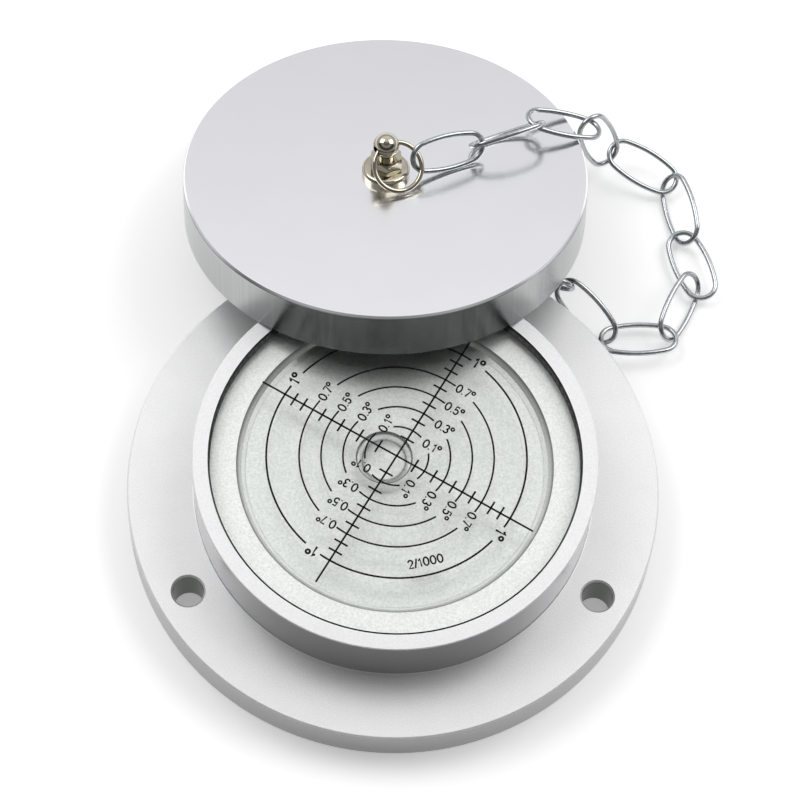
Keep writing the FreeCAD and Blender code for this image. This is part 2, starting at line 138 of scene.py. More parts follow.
# %% Graph
class Graph:
    """Adds nodes to one tree."""

    def __init__(self, tree):
        self.tree = tree

    def add(self, kind, settings=None, **values):
        """A node of this type: its settings first, then its inputs, by name or as in0, in1 and so on."""
        node = self.tree.nodes.new(kind)
        for name, value in (settings or {}).items():
            if name == "stops":
                ramp = node.color_ramp
                for number, (place, colour) in enumerate(value):
                    stop = ramp.elements[number] if number < 2 else ramp.elements.new(place)
                    stop.position = place
                    stop.color = (*colour, 1)
            else:
                setattr(node, name, value)
        for name, value in values.items():
            slot = node.inputs[int(name[2:])] if name[2:].isdigit() else node.inputs[name.replace("_", " ")]
            plug(self.tree, slot, value)
        return node

    def signal(self, kind, settings=None, output=0, **values):
        return Signal(self.tree, self.add(kind, settings, **values).outputs[output])

    def vector(self, operation, first, second=None, output=0):
        """One Vector Math node. Output 0 is its vector, and output 1 its number."""
        values = {"in0": first}
        if second is not None:
            values["in1"] = second
        return self.signal("ShaderNodeVectorMath", {"operation": operation}, output, **values)

    def mix(self, factor, first, second):
        """Two colours mixed."""
        settings = {"data_type": "RGBA"}
        return self.signal("ShaderNodeMix", settings, 2, in0=factor, in6=first, in7=second)

    def blend(self, factor, first, second):
        """Two shaders mixed."""
        return self.add("ShaderNodeMixShader", None, in0=factor, in1=first.outputs[0],
                        in2=second.outputs[0])


# %% [markdown]
# ## What all finishes share
#
# The finishes share a few measures: where a point lies on the object, how far it is from the level's
# axis, and whether its face looks up. Object coordinates serve for the place, since each solid's object
# sits at the origin and isn't scaled. That way a pit of 0.35 mm is written as 0.35 mm.

# %% Material helpers
def rgb(red, green, blue):
    return (red, green, blue, 1.0)


def new_material(name):
    """A material with an empty node tree, and the tree's graph."""
    material = bpy.data.materials.new(name)
    material.use_nodes = True
    material.node_tree.nodes.clear()
    print("finish:", name)
    return material, Graph(material.node_tree)


def close_material(graph, shader, height=None, strength=0.0, distance=0.1 * MM):
    """Give a shader its relief and wire it to the output."""
    if height is not None:
        bump = graph.add("ShaderNodeBump", None, Strength=strength, Distance=distance, Height=height)
        plug(graph.tree, shader.inputs["Normal"], bump.outputs[0])
    out = graph.add("ShaderNodeOutputMaterial")
    graph.tree.links.new(shader.outputs[0], out.inputs["Surface"])


def place_of(graph):
    """Object coordinates."""
    return graph.signal("ShaderNodeTexCoord", output=3)


def flat_place_of(graph):
    """Object coordinates pressed flat onto the ground."""
    return graph.vector("MULTIPLY", place_of(graph), (1, 1, 0))


def off_axis_of(graph):
    """Distance from the level's own axis."""
    return graph.vector("LENGTH", flat_place_of(graph), None, 1)


def facing_up(graph):
    """1 on faces that look up, 0 on walls."""
    normal = graph.add("ShaderNodeNewGeometry").outputs["Normal"]
    return graph.vector("DOT_PRODUCT", normal, (0, 0, 1), 1).above(0.6, 0.2)


def noise(graph, size, detail=2.0):
    """Even noise from 0 to 1 with bumps about this large, in metres."""
    return graph.signal("ShaderNodeTexNoise", None, 0, Vector=place_of(graph), Scale=1.0 / size,
                        Detail=detail)


def noise_along(graph, position, detail):
    """Noise that changes along one direction only, so that it draws lines across it."""
    return graph.signal("ShaderNodeTexNoise", {"noise_dimensions": "1D"}, 0, W=position, Detail=detail)


# %% [markdown]
# ## Satin aluminium: the base
#
# The base is turned from bar, blasted with fine beads and clear anodised. Its faces are full of tiny
# pits that catch the light one by one, and their film of oxide scatters some of it, so they are less
# metallic. Its walls keep the smoother skin of the turning, and their darker tone is painted shade. Two
# materials could do that, but the solid is one mesh, so one material picks the finish by the normal.
# The screw holes get a still darker tone, painted shade inside them. They are the only walls between
# the collar and the flange's edge, so the distance from the axis finds them, and both radii are read
# from the solid.

# %% Satin aluminium
PIT = 0.35 * MM
PIT_DEPTH = 0.06 * MM
CLOUD = 6.0 * MM
SPARKLE_SHARE = 0.7
BORE_MARGIN = 2 * MM
BORE_SOFT = 1 * MM
FACE_OXIDE = 0.4
WALL_ROUGH = 0.18
FACE_ROUGH = 0.14
PIT_ROUGH = 0.10
flange_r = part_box("base_housing")[1].x
base_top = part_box("base_housing")[1].z
collar_r = max(
    corner.co.xy.length for corner in nodes["base_housing"].data.vertices if corner.co.z > 0.75 * base_top
)
print("collar", round(2 * collar_r / MM, 2), "mm and flange", round(2 * flange_r / MM, 2), "mm across")


def satin_aluminium():
    """Faces are blasted and sparkle; walls are smoother and carry painted shade, darkest in the screw
    holes.
    """
    material, graph = new_material("satin_aluminium")
    face = facing_up(graph)
    pits = noise(graph, PIT, 3.0)
    sparkle = pits.above(0.5, 0.5)
    spread = sparkle * SPARKLE_SHARE + noise(graph, CLOUD) * (1 - SPARKLE_SHARE)
    blasted = graph.mix(spread, rgb(0.78, 0.78, 0.79), rgb(0.94, 0.94, 0.945))
    # Painted shade: this mask finds the screw holes' walls, which are painted darkest.
    painted_hole_shade_mask = off_axis_of(graph).between(collar_r + BORE_MARGIN, flange_r - BORE_MARGIN, BORE_SOFT)
    # Painted shade: walls take a darker tone than the faces, and the screw holes the darkest.
    wall_tone_with_painted_shade = graph.mix(painted_hole_shade_mask, rgb(0.34, 0.34, 0.345), rgb(0.16, 0.17, 0.155))
    tone = graph.mix(face, wall_tone_with_painted_shade, blasted)
    rough = pits * PIT_ROUGH + face * FACE_ROUGH + WALL_ROUGH
    shader = graph.add("ShaderNodeBsdfPrincipled", None, Base_Color=tone, Metallic=1 - face * FACE_OXIDE,
                       Roughness=rough)
    close_material(graph, shader, pits * face, 0.5, PIT_DEPTH)
    return material


satin = satin_aluminium()

# %% [markdown]
# ## Polished aluminium: the lid
#
# The lid's top is buffed until it mirrors the room softly. Its skirt is left as it came from the lathe,
# with hairlines round it; its darker tone is painted shade, and broad faint bands across the hairlines
# are painted reflection streaks. The lid leans, so its pattern can't use the world's Z. Its lean and its
# heading are those that the solid rests at, and they give its own axis. Height along that axis gives the
# hairlines, and the angle round it the painted bands.

# %% The lid's own axis
LID_LEAN = math.radians(18.6)
LID_HEADING = math.radians(95.85)
lid_axis = Vector((
    math.sin(LID_LEAN) * math.cos(LID_HEADING),
    math.sin(LID_LEAN) * math.sin(LID_HEADING),
    math.cos(LID_LEAN),
))
lid_low, lid_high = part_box("lid")
lid_middle = (lid_low + lid_high) / 2
lid_side = Vector((0, 0, 1)).cross(lid_axis).normalized()
lid_top_height = max(corner.co.dot(lid_axis) for corner in nodes["lid"].data.vertices)
lid_flat = max(nodes["lid"].data.polygons, key=lambda face: face.area).normal
off_flat = min(lid_axis.angle(lid_flat), lid_axis.angle(-lid_flat))
print("lid's top stands", round(lid_top_height / MM, 2), "mm along its axis, which is within",
      round(math.degrees(off_flat), 2), "degrees of its flat face")

# %% [markdown]
# The two finishes are two shaders, and a Mix Shader joins them at the top's edge. The skirt's shader is
# anisotropic, because hairlines stretch a reflection across themselves.

# %% Polished aluminium
TOP_EDGE = 0.4 * MM
TOP_EDGE_SOFT = 0.1 * MM
STAIN = 14.0 * MM
HAIRLINE = 0.12 * MM
HAIRLINE_DEPTH = 0.02 * MM
# Painted reflection: the number of painted streak bands per radian round the lid.
PAINTED_BANDS_PER_RADIAN = 9.0


def polished_aluminium():
    """Mirror-like on top; the skirt has painted shade and painted reflection bands, and hairlines round the
    lid's axis.
    """
    material, graph = new_material("polished_aluminium")
    place = place_of(graph)
    height = graph.vector("DOT_PRODUCT", place, tuple(lid_axis), 1)
    top_mask = height.above(lid_top_height - TOP_EDGE, TOP_EDGE_SOFT)
    top_tone = graph.mix(noise(graph, STAIN), rgb(0.89, 0.89, 0.91), rgb(0.93, 0.93, 0.945))
    top = graph.add("ShaderNodeBsdfPrincipled", None, Base_Color=top_tone, Metallic=1.0, Roughness=0.2)
    hairlines = noise_along(graph, height / HAIRLINE, 2.0)
    from_middle = graph.vector("SUBTRACT", place, tuple(lid_middle))
    sideways = graph.vector("DOT_PRODUCT", from_middle, tuple(lid_side), 1)
    uphill = graph.vector("DOT_PRODUCT", from_middle, tuple(lid_axis.cross(lid_side)), 1)
    # Painted reflection: bands round the lid's axis stand in for streaks of reflected light on the skirt.
    painted_reflection_bands = noise_along(graph, sideways.angle_from(uphill) * PAINTED_BANDS_PER_RADIAN, 3.0)
    # Painted shade: the skirt's tones are far darker than the top's; the bands in them are painted
    # reflection.
    skirt_tone_and_painted_shade = graph.mix(hairlines * 0.5 + painted_reflection_bands * 0.5, rgb(0.34, 0.35, 0.35), rgb(0.52, 0.53, 0.53))
    skirt = graph.add("ShaderNodeBsdfPrincipled", None, Base_Color=skirt_tone_and_painted_shade, Metallic=1.0,
                      Roughness=hairlines * 0.06 + 0.13, Anisotropic=0.5, Anisotropic_Rotation=0.25)
    relief = graph.add("ShaderNodeBump", None, Strength=0.25, Distance=HAIRLINE_DEPTH, Height=hairlines)
    plug(graph.tree, skirt.inputs["Normal"], relief.outputs[0])
    close_material(graph, graph.blend(top_mask, skirt, top))
    return material


polished = polished_aluminium()

# %% [markdown]
# ## Plated steel: the knob, the ring and the chain
#
# The knob and its ring are nickel plated, with a warm tone and a high polish. The links are drawn wire
# with bright zinc on it, which is cooler and a little cloudy. The other screws and washers take one or
# the other. Both are the same shader with other numbers, so one function makes them: it takes two close
# tones, a roughness and the size of the clouds.

# %% Plated steel
def plated_steel(name, dark, light, rough, grain):
    """Two close tones, with a roughness and a faint relief that follow them."""
    material, graph = new_material(name)
    cloud = noise(graph, grain, 4.0)
    shader = graph.add("ShaderNodeBsdfPrincipled", None, Base_Color=graph.mix(cloud, dark, light),
                       Metallic=1.0, Roughness=cloud * rough + rough * 0.5)
    close_material(graph, shader, cloud, 0.12, 0.03 * MM)
    return material


nickel = plated_steel("nickel", rgb(0.42, 0.39, 0.31), rgb(0.64, 0.60, 0.50), 0.07, 1.5 * MM)
zinc = plated_steel("zinc_steel", rgb(0.36, 0.38, 0.39), rgb(0.60, 0.62, 0.63), 0.22, 0.8 * MM)

# %% [markdown]
# ## The clear lens
#
# The lens is clear acrylic, bonded at its edge into a black seal. Through the lens that bond is seen as
# a dark line round the cup's rim. A clear solid that only bends light would throw a full shadow here, so
# shadow rays go straight through it. The bonded edge is a mask by radius, from the lens's own box.

# %% Clear lens
ACRYLIC_IOR = 1.49
BONDED = 0.05 * MM
lens_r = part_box("vial_lens")[1].x


def clear(graph, tint, ior):
    """Clear solid: light goes straight through for shadows, and bends for the eye."""
    body = graph.add("ShaderNodeBsdfPrincipled", None, Base_Color=tint, Roughness=0.0, IOR=ior,
                     Transmission_Weight=1.0)
    through = graph.add("ShaderNodeBsdfTransparent", None, Color=rgb(0.98, 0.99, 0.985))
    shadow = graph.add("ShaderNodeLightPath").outputs["Is Shadow Ray"]
    return graph.blend(shadow, body, through)


def clear_lens():
    """Clear, with a black bond on its edge."""
    material, graph = new_material("clear_lens")
    edge = off_axis_of(graph).above(lens_r - BONDED, 0.2 * BONDED)
    glass = clear(graph, rgb(0.99, 0.995, 0.99), ACRYLIC_IOR)
    black = graph.add("ShaderNodeBsdfDiffuse", None, Color=rgb(0.03, 0.032, 0.03))
    close_material(graph, graph.blend(edge, glass, black))
    return material


lens_clear = clear_lens()

# %% [markdown]
# ## The spirit and the look of its bubble
#
# The liquid wets the cup and the lens, so there it hardly bends light and can be plainly transparent.
# The bubble's wall does bend it, and its index is that of spirit. The dark rings that a bubble shows
# are painted shade: a dark line at its rim, where it leaves the lens, and one at its foot, where the wall
# turns into the floor, with the curved wall between painted grey. They are masks by the distance from
# the bubble's middle, and a mask by height keeps them off the liquid's underside. The bubble's floor also
# has painted shade on its far left, where the real one is shaded.

# %% Spirit
SPIRIT_IOR = 1.36
BUBBLE_SPOT = Vector((-2.5 * MM, 1.0 * MM, 0))
BUBBLE_R = 6.2 * MM
BUBBLE_ROUND = 1.35 * MM
BUBBLE_DEEP = 1.6 * MM
FLOOR_R = BUBBLE_R - BUBBLE_ROUND
RIM_LINE = 0.52 * MM
RIM_DARKNESS = 0.9
RIM_REACH = 0.12 * MM
RIM_SOFT = 0.1 * MM
MASK_DEEP = 1.3 * BUBBLE_DEEP
MASK_SOFT = 0.2 * MM
SHADE_SIDE = (-0.55, 0.835, 0)
SHADE_FROM = 0.45 * BUBBLE_R
SHADE_SOFT = 0.7 * BUBBLE_R
spirit_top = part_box("spirit_fill")[1].z


def spirit():
    """Transparent, but for the bubble's wall, which bends light and carries painted shade at its rim, foot
    and floor.
    """
    material, graph = new_material("spirit")
    flat = flat_place_of(graph)
    away = graph.vector("DISTANCE", flat, tuple(BUBBLE_SPOT), 1)
    height = graph.vector("DOT_PRODUCT", place_of(graph), (0, 0, 1), 1)
    off_dial = height.above(spirit_top - MASK_DEEP, MASK_SOFT)
    near_bubble = off_dial * (1 - away.above(BUBBLE_R + RIM_REACH, RIM_SOFT))
    across = graph.vector("SUBTRACT", flat, tuple(BUBBLE_SPOT))
    far_left = graph.vector("DOT_PRODUCT", across, SHADE_SIDE, 1)
    # Painted shade: the far left of the bubble's floor is greyed.
    shade = far_left.above(SHADE_FROM, SHADE_SOFT)
    floor = graph.mix(shade, rgb(1.0, 1.0, 1.0), rgb(0.50, 0.51, 0.52))
    # Painted shade: the curved wall is greyed, and this tint carries the floor's painted shade too.
    bubble_painted_shade = graph.mix(away.above(FLOOR_R, BUBBLE_ROUND / 2), floor, rgb(0.48, 0.49, 0.49))
    # Painted shade: a dark line where the wall turns into the floor.
    foot = away.between(FLOOR_R - RIM_LINE / 2, FLOOR_R + RIM_LINE / 2, RIM_LINE)
    wall = clear(graph, graph.mix(foot, bubble_painted_shade, rgb(0.06, 0.062, 0.062)), SPIRIT_IOR)
    through = graph.add("ShaderNodeBsdfTransparent", None, Color=rgb(0.97, 0.974, 0.97))
    dark = graph.add("ShaderNodeBsdfDiffuse", None, Color=rgb(0.03, 0.033, 0.033))
    # Painted shade: a near-black line round the bubble's rim.
    rim = away.above(BUBBLE_R - RIM_LINE / 2, RIM_LINE / 2) * near_bubble * RIM_DARKNESS
    close_material(graph, graph.blend(rim, graph.blend(near_bubble, through, wall), dark))
    return material


spirit_clear = spirit()

# %% [markdown]
# ## Pearly enamel: the cup and the dial
#
# Cup and dial are sprayed with one pale paint that holds fine metal flake. It mirrors softly, like satin
# metal, and shows a fine grain. Between them the cup has a bevelled step. On the real level only the
# step's upper part shows as a narrow dark band, and its foot runs level into the dial. A bump can turn
# the shading of a bevel flat, so the foot is levelled that way, and the dark band is painted shade: a
# darker line along the step's upper edge.
# The levelled share of the step's width, STEP_FOOT, and the bump's fall for each unit outwards,
# LEVELLING, were found by trial.

# %% Pearly enamel
FLAKE = 0.5 * MM
FLAKE_DEPTH = 0.0125 * MM
FLAKE_METAL = 0.88
LINE_INSIDE = 0.35 * MM
LINE_INSIDE_SOFT = 0.5 * MM
LINE_OUTSIDE = 0.05 * MM
LINE_OUTSIDE_SOFT = 0.1 * MM
STEP_FOOT = 0.45
LEVELLING = 2.1
step_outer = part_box("spirit_fill")[1].x
step_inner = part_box("dial_disc")[1].x
step_width = step_outer - step_inner
print("the cup's step is", round(step_width / MM, 2), "mm wide")


def levelled_foot(graph):
    """A height that cancels the bevel's slope, from the dial over the foot's share of its width."""
    across = off_axis_of(graph).above((step_outer + step_inner) / 2, step_width)
    return -across.least(STEP_FOOT) * (LEVELLING * step_width)


def pearly_enamel():
    """Pale greenish white, with fine flake and a line of painted shade along the cup's step."""
    material, graph = new_material("pale_enamel")
    speck = noise(graph, FLAKE, 3.0)
    off_axis = off_axis_of(graph)
    # Painted shade: a dark line along the upper edge of the cup's step.
    line_starts = off_axis.above(step_outer - LINE_INSIDE, LINE_INSIDE_SOFT)
    line_ends = off_axis.above(step_outer + LINE_OUTSIDE, LINE_OUTSIDE_SOFT)
    paint = graph.mix(speck.above(0.5, 0.5), rgb(0.66, 0.67, 0.66), rgb(0.88, 0.89, 0.88))
    tone = graph.mix(line_starts * (1 - line_ends), paint, rgb(0.26, 0.265, 0.25))
    shader = graph.add("ShaderNodeBsdfPrincipled", None, Base_Color=tone, Metallic=FLAKE_METAL,
                       Roughness=speck * 0.1 + 0.30)
    close_material(graph, shader, speck * FLAKE_DEPTH + levelled_foot(graph), 1.0, 1.0)
    return material


enamel = pearly_enamel()

# %% [markdown]
# ## Rubber and ink
#
# The seal is matt black rubber, greyer on its upward faces. The print is a black screen ink. Both
# are dull skins with a fine grain, so they share a function, and their specular level is set low on the
# shader's own socket.

# %% Rubber and ink
GRAIN = 0.4 * MM
GRAIN_DEPTH = 0.03 * MM
LIGHTER = 1.35
DULL_GLOSS = 0.15


def dull(name, colour, rough, top=None):
    """A matt skin with a faint grain, and with a colour of its own on top where one is given."""
    material, graph = new_material(name)
    grain = noise(graph, GRAIN, 3.0)
    tone = graph.mix(grain, colour, rgb(*(part * LIGHTER for part in colour[:3])))
    if top:
        tone = graph.mix(facing_up(graph), tone, top)
    shader = graph.add("ShaderNodeBsdfPrincipled", None, Base_Color=tone, Roughness=grain * 0.1 + rough,
                       Specular_IOR_Level=DULL_GLOSS)
    close_material(graph, shader, grain, 0.15, GRAIN_DEPTH)
    return material


rubber = dull("rubber", rgb(0.03, 0.032, 0.03), 0.8, rgb(0.34, 0.345, 0.33))
ink = dull("ink", rgb(0.006, 0.006, 0.008), 0.5)

# %% [markdown]
# ## The finishes go on the solids
#
# A solid's shape and place stay as the frame has them, and only its material changes. Everything that
# isn't named here is a link of the chain.

# %% Put the finishes on
finish_of = {
    "base_housing": satin, "lid": polished, "vial_cup": enamel, "dial_disc": enamel,
    "vial_lens": lens_clear, "spirit_fill": spirit_clear, "lens_seal": rubber, "filler_plug": nickel,
    "knob_washer": nickel, "knob_nut": nickel, "ball_stud": nickel, "split_ring": nickel,
    "anchor_screw": nickel, "anchor_washer": nickel, "inner_washer": zinc, "inner_nut": zinc,
}
for name, solid in nodes.items():
    solid.data.materials.clear()
    solid.data.materials.append(finish_of.get(name, zinc))
print("zinc plated links:", len([name for name in nodes if name not in finish_of]))

# %% [markdown]
# ## The bubble
#
# The bubble is a hole in the liquid, pressed flat against the lens, with a wall that rounds into its
# floor. One skin of rings makes the whole liquid: out along the dial, up the cup's step, in across the
# top, and down into the hole as a quarter of an oval. A boolean could cut the hole, but rings give clean
# faces. The bubble lies a little nearer to the lid than in the solid, so this skin replaces the solid.

# %% Spirit with its bubble
ROUND_STEPS = 12
RING_POINTS = 96


def ring_skin(name, rings, material):
    """A closed skin through rings, each given by its radius, height and middle, with flat ends."""
    skin = bmesh.new()
    loops = []
    for radius, height, middle in rings:
        loops.append([
            skin.verts.new((
                middle.x + radius * math.cos(step * math.tau / RING_POINTS),
                middle.y + radius * math.sin(step * math.tau / RING_POINTS), height,
            )) for step in range(RING_POINTS)
        ])
    for low, high in zip(loops, loops[1:]):
        for step in range(RING_POINTS):
            after = (step + 1) % RING_POINTS
            skin.faces.new((low[step], low[after], high[after], high[step]))
    skin.faces.new(loops[0])
    skin.faces.new(loops[-1])
    bmesh.ops.recalc_face_normals(skin, faces=skin.faces)
    for face in skin.faces:
        face.smooth = len(face.verts) == 4
    mesh = bpy.data.meshes.new(name)
    skin.to_mesh(mesh)
    skin.free()
    mesh.materials.append(material)
    piece = bpy.data.objects.new(name, mesh)
    scene.collection.objects.link(piece)
    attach(piece, "root")
    return piece


def spirit_rings():
    """The liquid's outside, then the bubble's wall from its rim down to its floor."""
    low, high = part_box("spirit_fill")
    centre = Vector((0, 0, 0))
    rings = [(step_inner, low.z, centre), (high.x, high.z, centre)]
    for step in range(ROUND_STEPS + 1):
        turn = math.pi / 2 * step / ROUND_STEPS
        radius = BUBBLE_R - BUBBLE_ROUND * (1 - math.cos(turn))
        rings.append((radius, high.z - BUBBLE_DEEP * math.sin(turn), BUBBLE_SPOT))
    return rings


liquid = ring_skin("spirit_and_bubble", spirit_rings(), spirit_clear)
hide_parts("spirit_fill")
print("the bubble is", round(2 * BUBBLE_R / MM, 1), "mm across")

# %% [markdown]
# ## The printed dial
#
# The marks are printed on the lens's top: a cross whose arms carry ticks, five rings with gaps for
# their numbers, and the numbers. A tenth of a degree is 2.42 mm. The cross and the rings repeat four
# times round the middle, so Geometry Nodes draw one quarter of each and turn copies of it. The print is
# a film 0.02 mm thick, and it was printed a little off the lens's middle.

# %% Sizes of the print
PRINT_TURN = math.radians(-26.4)
QUARTER = math.radians(90)
FIRST_R = 4.63 * MM
DEGREE_STEP = 24.2 * MM
ARM_R = 34.7 * MM
TICK_L = 3.4 * MM
THIN_LINE = 0.40 * MM
BOLD_LINE = 0.44 * MM
PRINT_SPOT = Vector((0.22 * MM, 0.44 * MM, 0))
FILM = 0.02 * MM
film_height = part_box("vial_lens")[1].z + FILM / 2
print("the film's middle lies", round(film_height / MM, 2), "mm up")

# %% [markdown]
# A Geometry Nodes tree is built like a material's. Its inputs get names, so that one tree serves rings
# of every size. Running it takes four steps: put the tree on an object, write the inputs by their
# sockets' identifiers, evaluate the object, and copy the result to a plain mesh.

# %% Geometry Nodes helpers
def new_tree(name, inputs, takes_shape=False):
    """A tree with named number inputs. Returns it, its graph and its signals by name."""
    tree = bpy.data.node_groups.new(name, "GeometryNodeTree")
    tree.interface.new_socket("Geometry", in_out="OUTPUT", socket_type="NodeSocketGeometry")
    if takes_shape:
        tree.interface.new_socket("Shape", in_out="INPUT", socket_type="NodeSocketGeometry")
        inputs = ("Shape", *inputs)
    for label in inputs:
        if label != "Shape":
            tree.interface.new_socket(label, in_out="INPUT", socket_type="NodeSocketFloat")
    graph = Graph(tree)
    source = graph.add("NodeGroupInput")
    return tree, graph, {label: Signal(tree, source.outputs[label]) for label in inputs}


def end_tree(graph, geometry, material):
    """Realise the copies, give them their material and hand them out."""
    real = graph.add("GeometryNodeRealizeInstances", None, in0=geometry)
    done = graph.add("GeometryNodeSetMaterial", None, Geometry=real.outputs[0], Material=material)
    out = graph.add("NodeGroupOutput")
    graph.tree.links.new(done.outputs[0], out.inputs[0])


def run_tree(name, tree, values, mesh=None):
    """Evaluate a tree with these input values and return the result as a plain mesh."""
    mesh = mesh or bpy.data.meshes.new(name)
    piece = bpy.data.objects.new(name, mesh)
    scene.collection.objects.link(piece)
    modifier = piece.modifiers.new(name, "NODES")
    modifier.node_group = tree
    for item in tree.interface.items_tree:
        if item.in_out == "INPUT" and item.name in values:
            modifier[item.identifier] = values[item.name]
    bpy.context.view_layer.update()
    depsgraph = bpy.context.evaluated_depsgraph_get()
    made = bpy.data.meshes.new_from_object(piece.evaluated_get(depsgraph), depsgraph=depsgraph)
    bpy.data.objects.remove(piece)
    return made


# %% [markdown]
# The marks share three more helpers. One turns a quarter's drawing into four, one moves a shape along
# and up, and the last joins the meshes of one kind of mark into a single printed piece.

# %% Helpers for the marks
def four_turns(graph, geometry, turn):
    """Four copies of a shape, a quarter turn apart."""
    points = graph.add("GeometryNodePoints", None, Count=4)
    angle = graph.signal("GeometryNodeInputIndex") * QUARTER + turn
    rotation = graph.add("ShaderNodeCombineXYZ", None, Z=angle)
    copies = graph.add("GeometryNodeInstanceOnPoints", None, Points=points.outputs[0], Instance=geometry,
                       Rotation=rotation.outputs[0])
    return copies.outputs[0]


def placed(graph, geometry, x=0.0, z=0.0):
    """A shape moved along X and up."""
    shift = graph.add("ShaderNodeCombineXYZ", None, X=x, Z=z)
    moved = graph.add("GeometryNodeTransform", None, Geometry=geometry, Translation=shift.outputs[0])
    return moved.outputs[0]


def printed_piece(name, meshes, places):
    """One piece of print from several meshes, each moved by its placement."""
    joined = bmesh.new()
    for mesh, place in zip(meshes, places):
        part = mesh.copy()
        part.transform(place)
        joined.from_mesh(part)
        bpy.data.meshes.remove(part)
    bmesh.ops.recalc_face_normals(joined, faces=joined.faces)
    mesh = bpy.data.meshes.new(name)
    joined.to_mesh(mesh)
    joined.free()
    mesh.materials.clear()
    mesh.materials.append(ink)
    for face in mesh.polygons:
        face.material_index = 0
    piece = bpy.data.objects.new(name, mesh)
    scene.collection.objects.link(piece)
    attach(piece, "root")
    print(name, len(mesh.polygons), "faces")


print_place = Matrix.Translation(PRINT_SPOT)

# %% [markdown]
# ### Broken rings
#
# A ring is broken four times, where its numbers stand beside the arms. One quarter of it is an arc that
# a flat rectangle follows. The gap's two ends are angles from the arm, in degrees, and they shrink as
# the ring grows, because the numbers keep their size.

# %% Broken rings
RING_GAPS = {0.1: (20, 54), 0.3: (13.5, 39), 0.5: (9.5, 28.5), 0.7: (7.2, 21.6), 1.0: (5, 13)}


def broken_ring_tree():
    """One quarter of a ring with its gap, four times round."""
    labels = ("Radius", "Gap Start", "Gap End", "Line", "Film", "Turn", "Height")
    tree, graph, value = new_tree("broken_ring", labels)
    arc = graph.add("GeometryNodeCurveArc", {"mode": "RADIUS"}, Resolution=64, Radius=value["Radius"])
    plug(tree, arc.inputs["Start Angle"], -value["Gap Start"])
    plug(tree, arc.inputs["Sweep Angle"], QUARTER + value["Gap Start"] - value["Gap End"])
    section = graph.add("GeometryNodeCurvePrimitiveQuadrilateral", {"mode": "RECTANGLE"},
                        in0=value["Line"], in1=value["Film"])
    strip = graph.add("GeometryNodeCurveToMesh", None, Curve=arc.outputs[0], in1=section.outputs[0],
                      Fill_Caps=True)
    raised = placed(graph, strip.outputs[0], z=value["Height"])
    end_tree(graph, four_turns(graph, raised, value["Turn"]), ink)
    return tree


ring_tree = broken_ring_tree()
ring_meshes = []
for degrees, (gap_start, gap_end) in RING_GAPS.items():
    ring_meshes.append(run_tree("ring", ring_tree, {
        "Radius": FIRST_R + DEGREE_STEP * degrees, "Gap Start": math.radians(gap_start),
        "Gap End": math.radians(gap_end), "Line": BOLD_LINE if degrees == 1.0 else THIN_LINE,
        "Film": FILM, "Turn": PRINT_TURN, "Height": film_height,
    }))
printed_piece("printed_rings", ring_meshes, [print_place] * len(ring_meshes))

# %% [markdown]
# ### Cross and ticks
#
# One arm is a long thin bar with six ticks across it: one for every 0.2 degree, and one at 0.9. The
# ticks stand on points whose places come from their index, and the last index is held at nine tenths.

# %% Cross and ticks
TICK_COUNT = 6


def arm_tree():
    """One arm of the cross with its ticks, four times round."""
    labels = ("Arm", "First", "Step", "Tick", "Line", "Film", "Turn", "Height")
    tree, graph, value = new_tree("arm", labels)
    size = graph.add("ShaderNodeCombineXYZ", None, X=value["Arm"], Y=value["Line"], Z=value["Film"])
    bar = graph.add("GeometryNodeMeshCube", None, Size=size.outputs[0])
    bar_placed = placed(graph, bar.outputs[0], value["Arm"] / 2, value["Height"])
    tenths = (graph.signal("GeometryNodeInputIndex") * 2.0).least(9.0)
    along = value["First"] + value["Step"] * tenths / 10.0
    spot = graph.add("ShaderNodeCombineXYZ", None, X=along, Z=value["Height"])
    points = graph.add("GeometryNodePoints", None, Count=TICK_COUNT, Position=spot.outputs[0])
    tick_size = graph.add("ShaderNodeCombineXYZ", None, X=value["Line"], Y=value["Tick"], Z=value["Film"])
    tick = graph.add("GeometryNodeMeshCube", None, Size=tick_size.outputs[0])
    ticks = graph.add("GeometryNodeInstanceOnPoints", None, Points=points.outputs[0],
                      Instance=tick.outputs[0])
    arm = graph.add("GeometryNodeJoinGeometry")
    tree.links.new(bar_placed, arm.inputs[0])
    tree.links.new(ticks.outputs[0], arm.inputs[0])
    end_tree(graph, four_turns(graph, arm.outputs[0], value["Turn"]), ink)
    return tree


cross = run_tree("cross", arm_tree(), {
    "Arm": ARM_R, "First": FIRST_R, "Step": DEGREE_STEP, "Tick": TICK_L, "Line": BOLD_LINE, "Film": FILM,
    "Turn": PRINT_TURN, "Height": film_height,
})
printed_piece("printed_cross", [cross], [print_place])

# %% [markdown]
# ## Numbers
#
# Dials like this are lettered with an even pen, so each figure here is a pen's path: straight runs and
# arcs in a box one unit high. Each entry gives how far the pen moves on, and then its strokes. Geometry
# Nodes draw the paths with a flat nib. That gives plain figures of any weight, and needs no font.

# %% Figures as pen paths
def arc(x, y, across, up, start, end, steps=14):
    """Points on an oval arc, from one angle in degrees to another."""
    return [
        (x + across * math.cos(math.radians(start + (end - start) * step / steps)),
         y + up * math.sin(math.radians(start + (end - start) * step / steps)))
        for step in range(steps + 1)
    ]


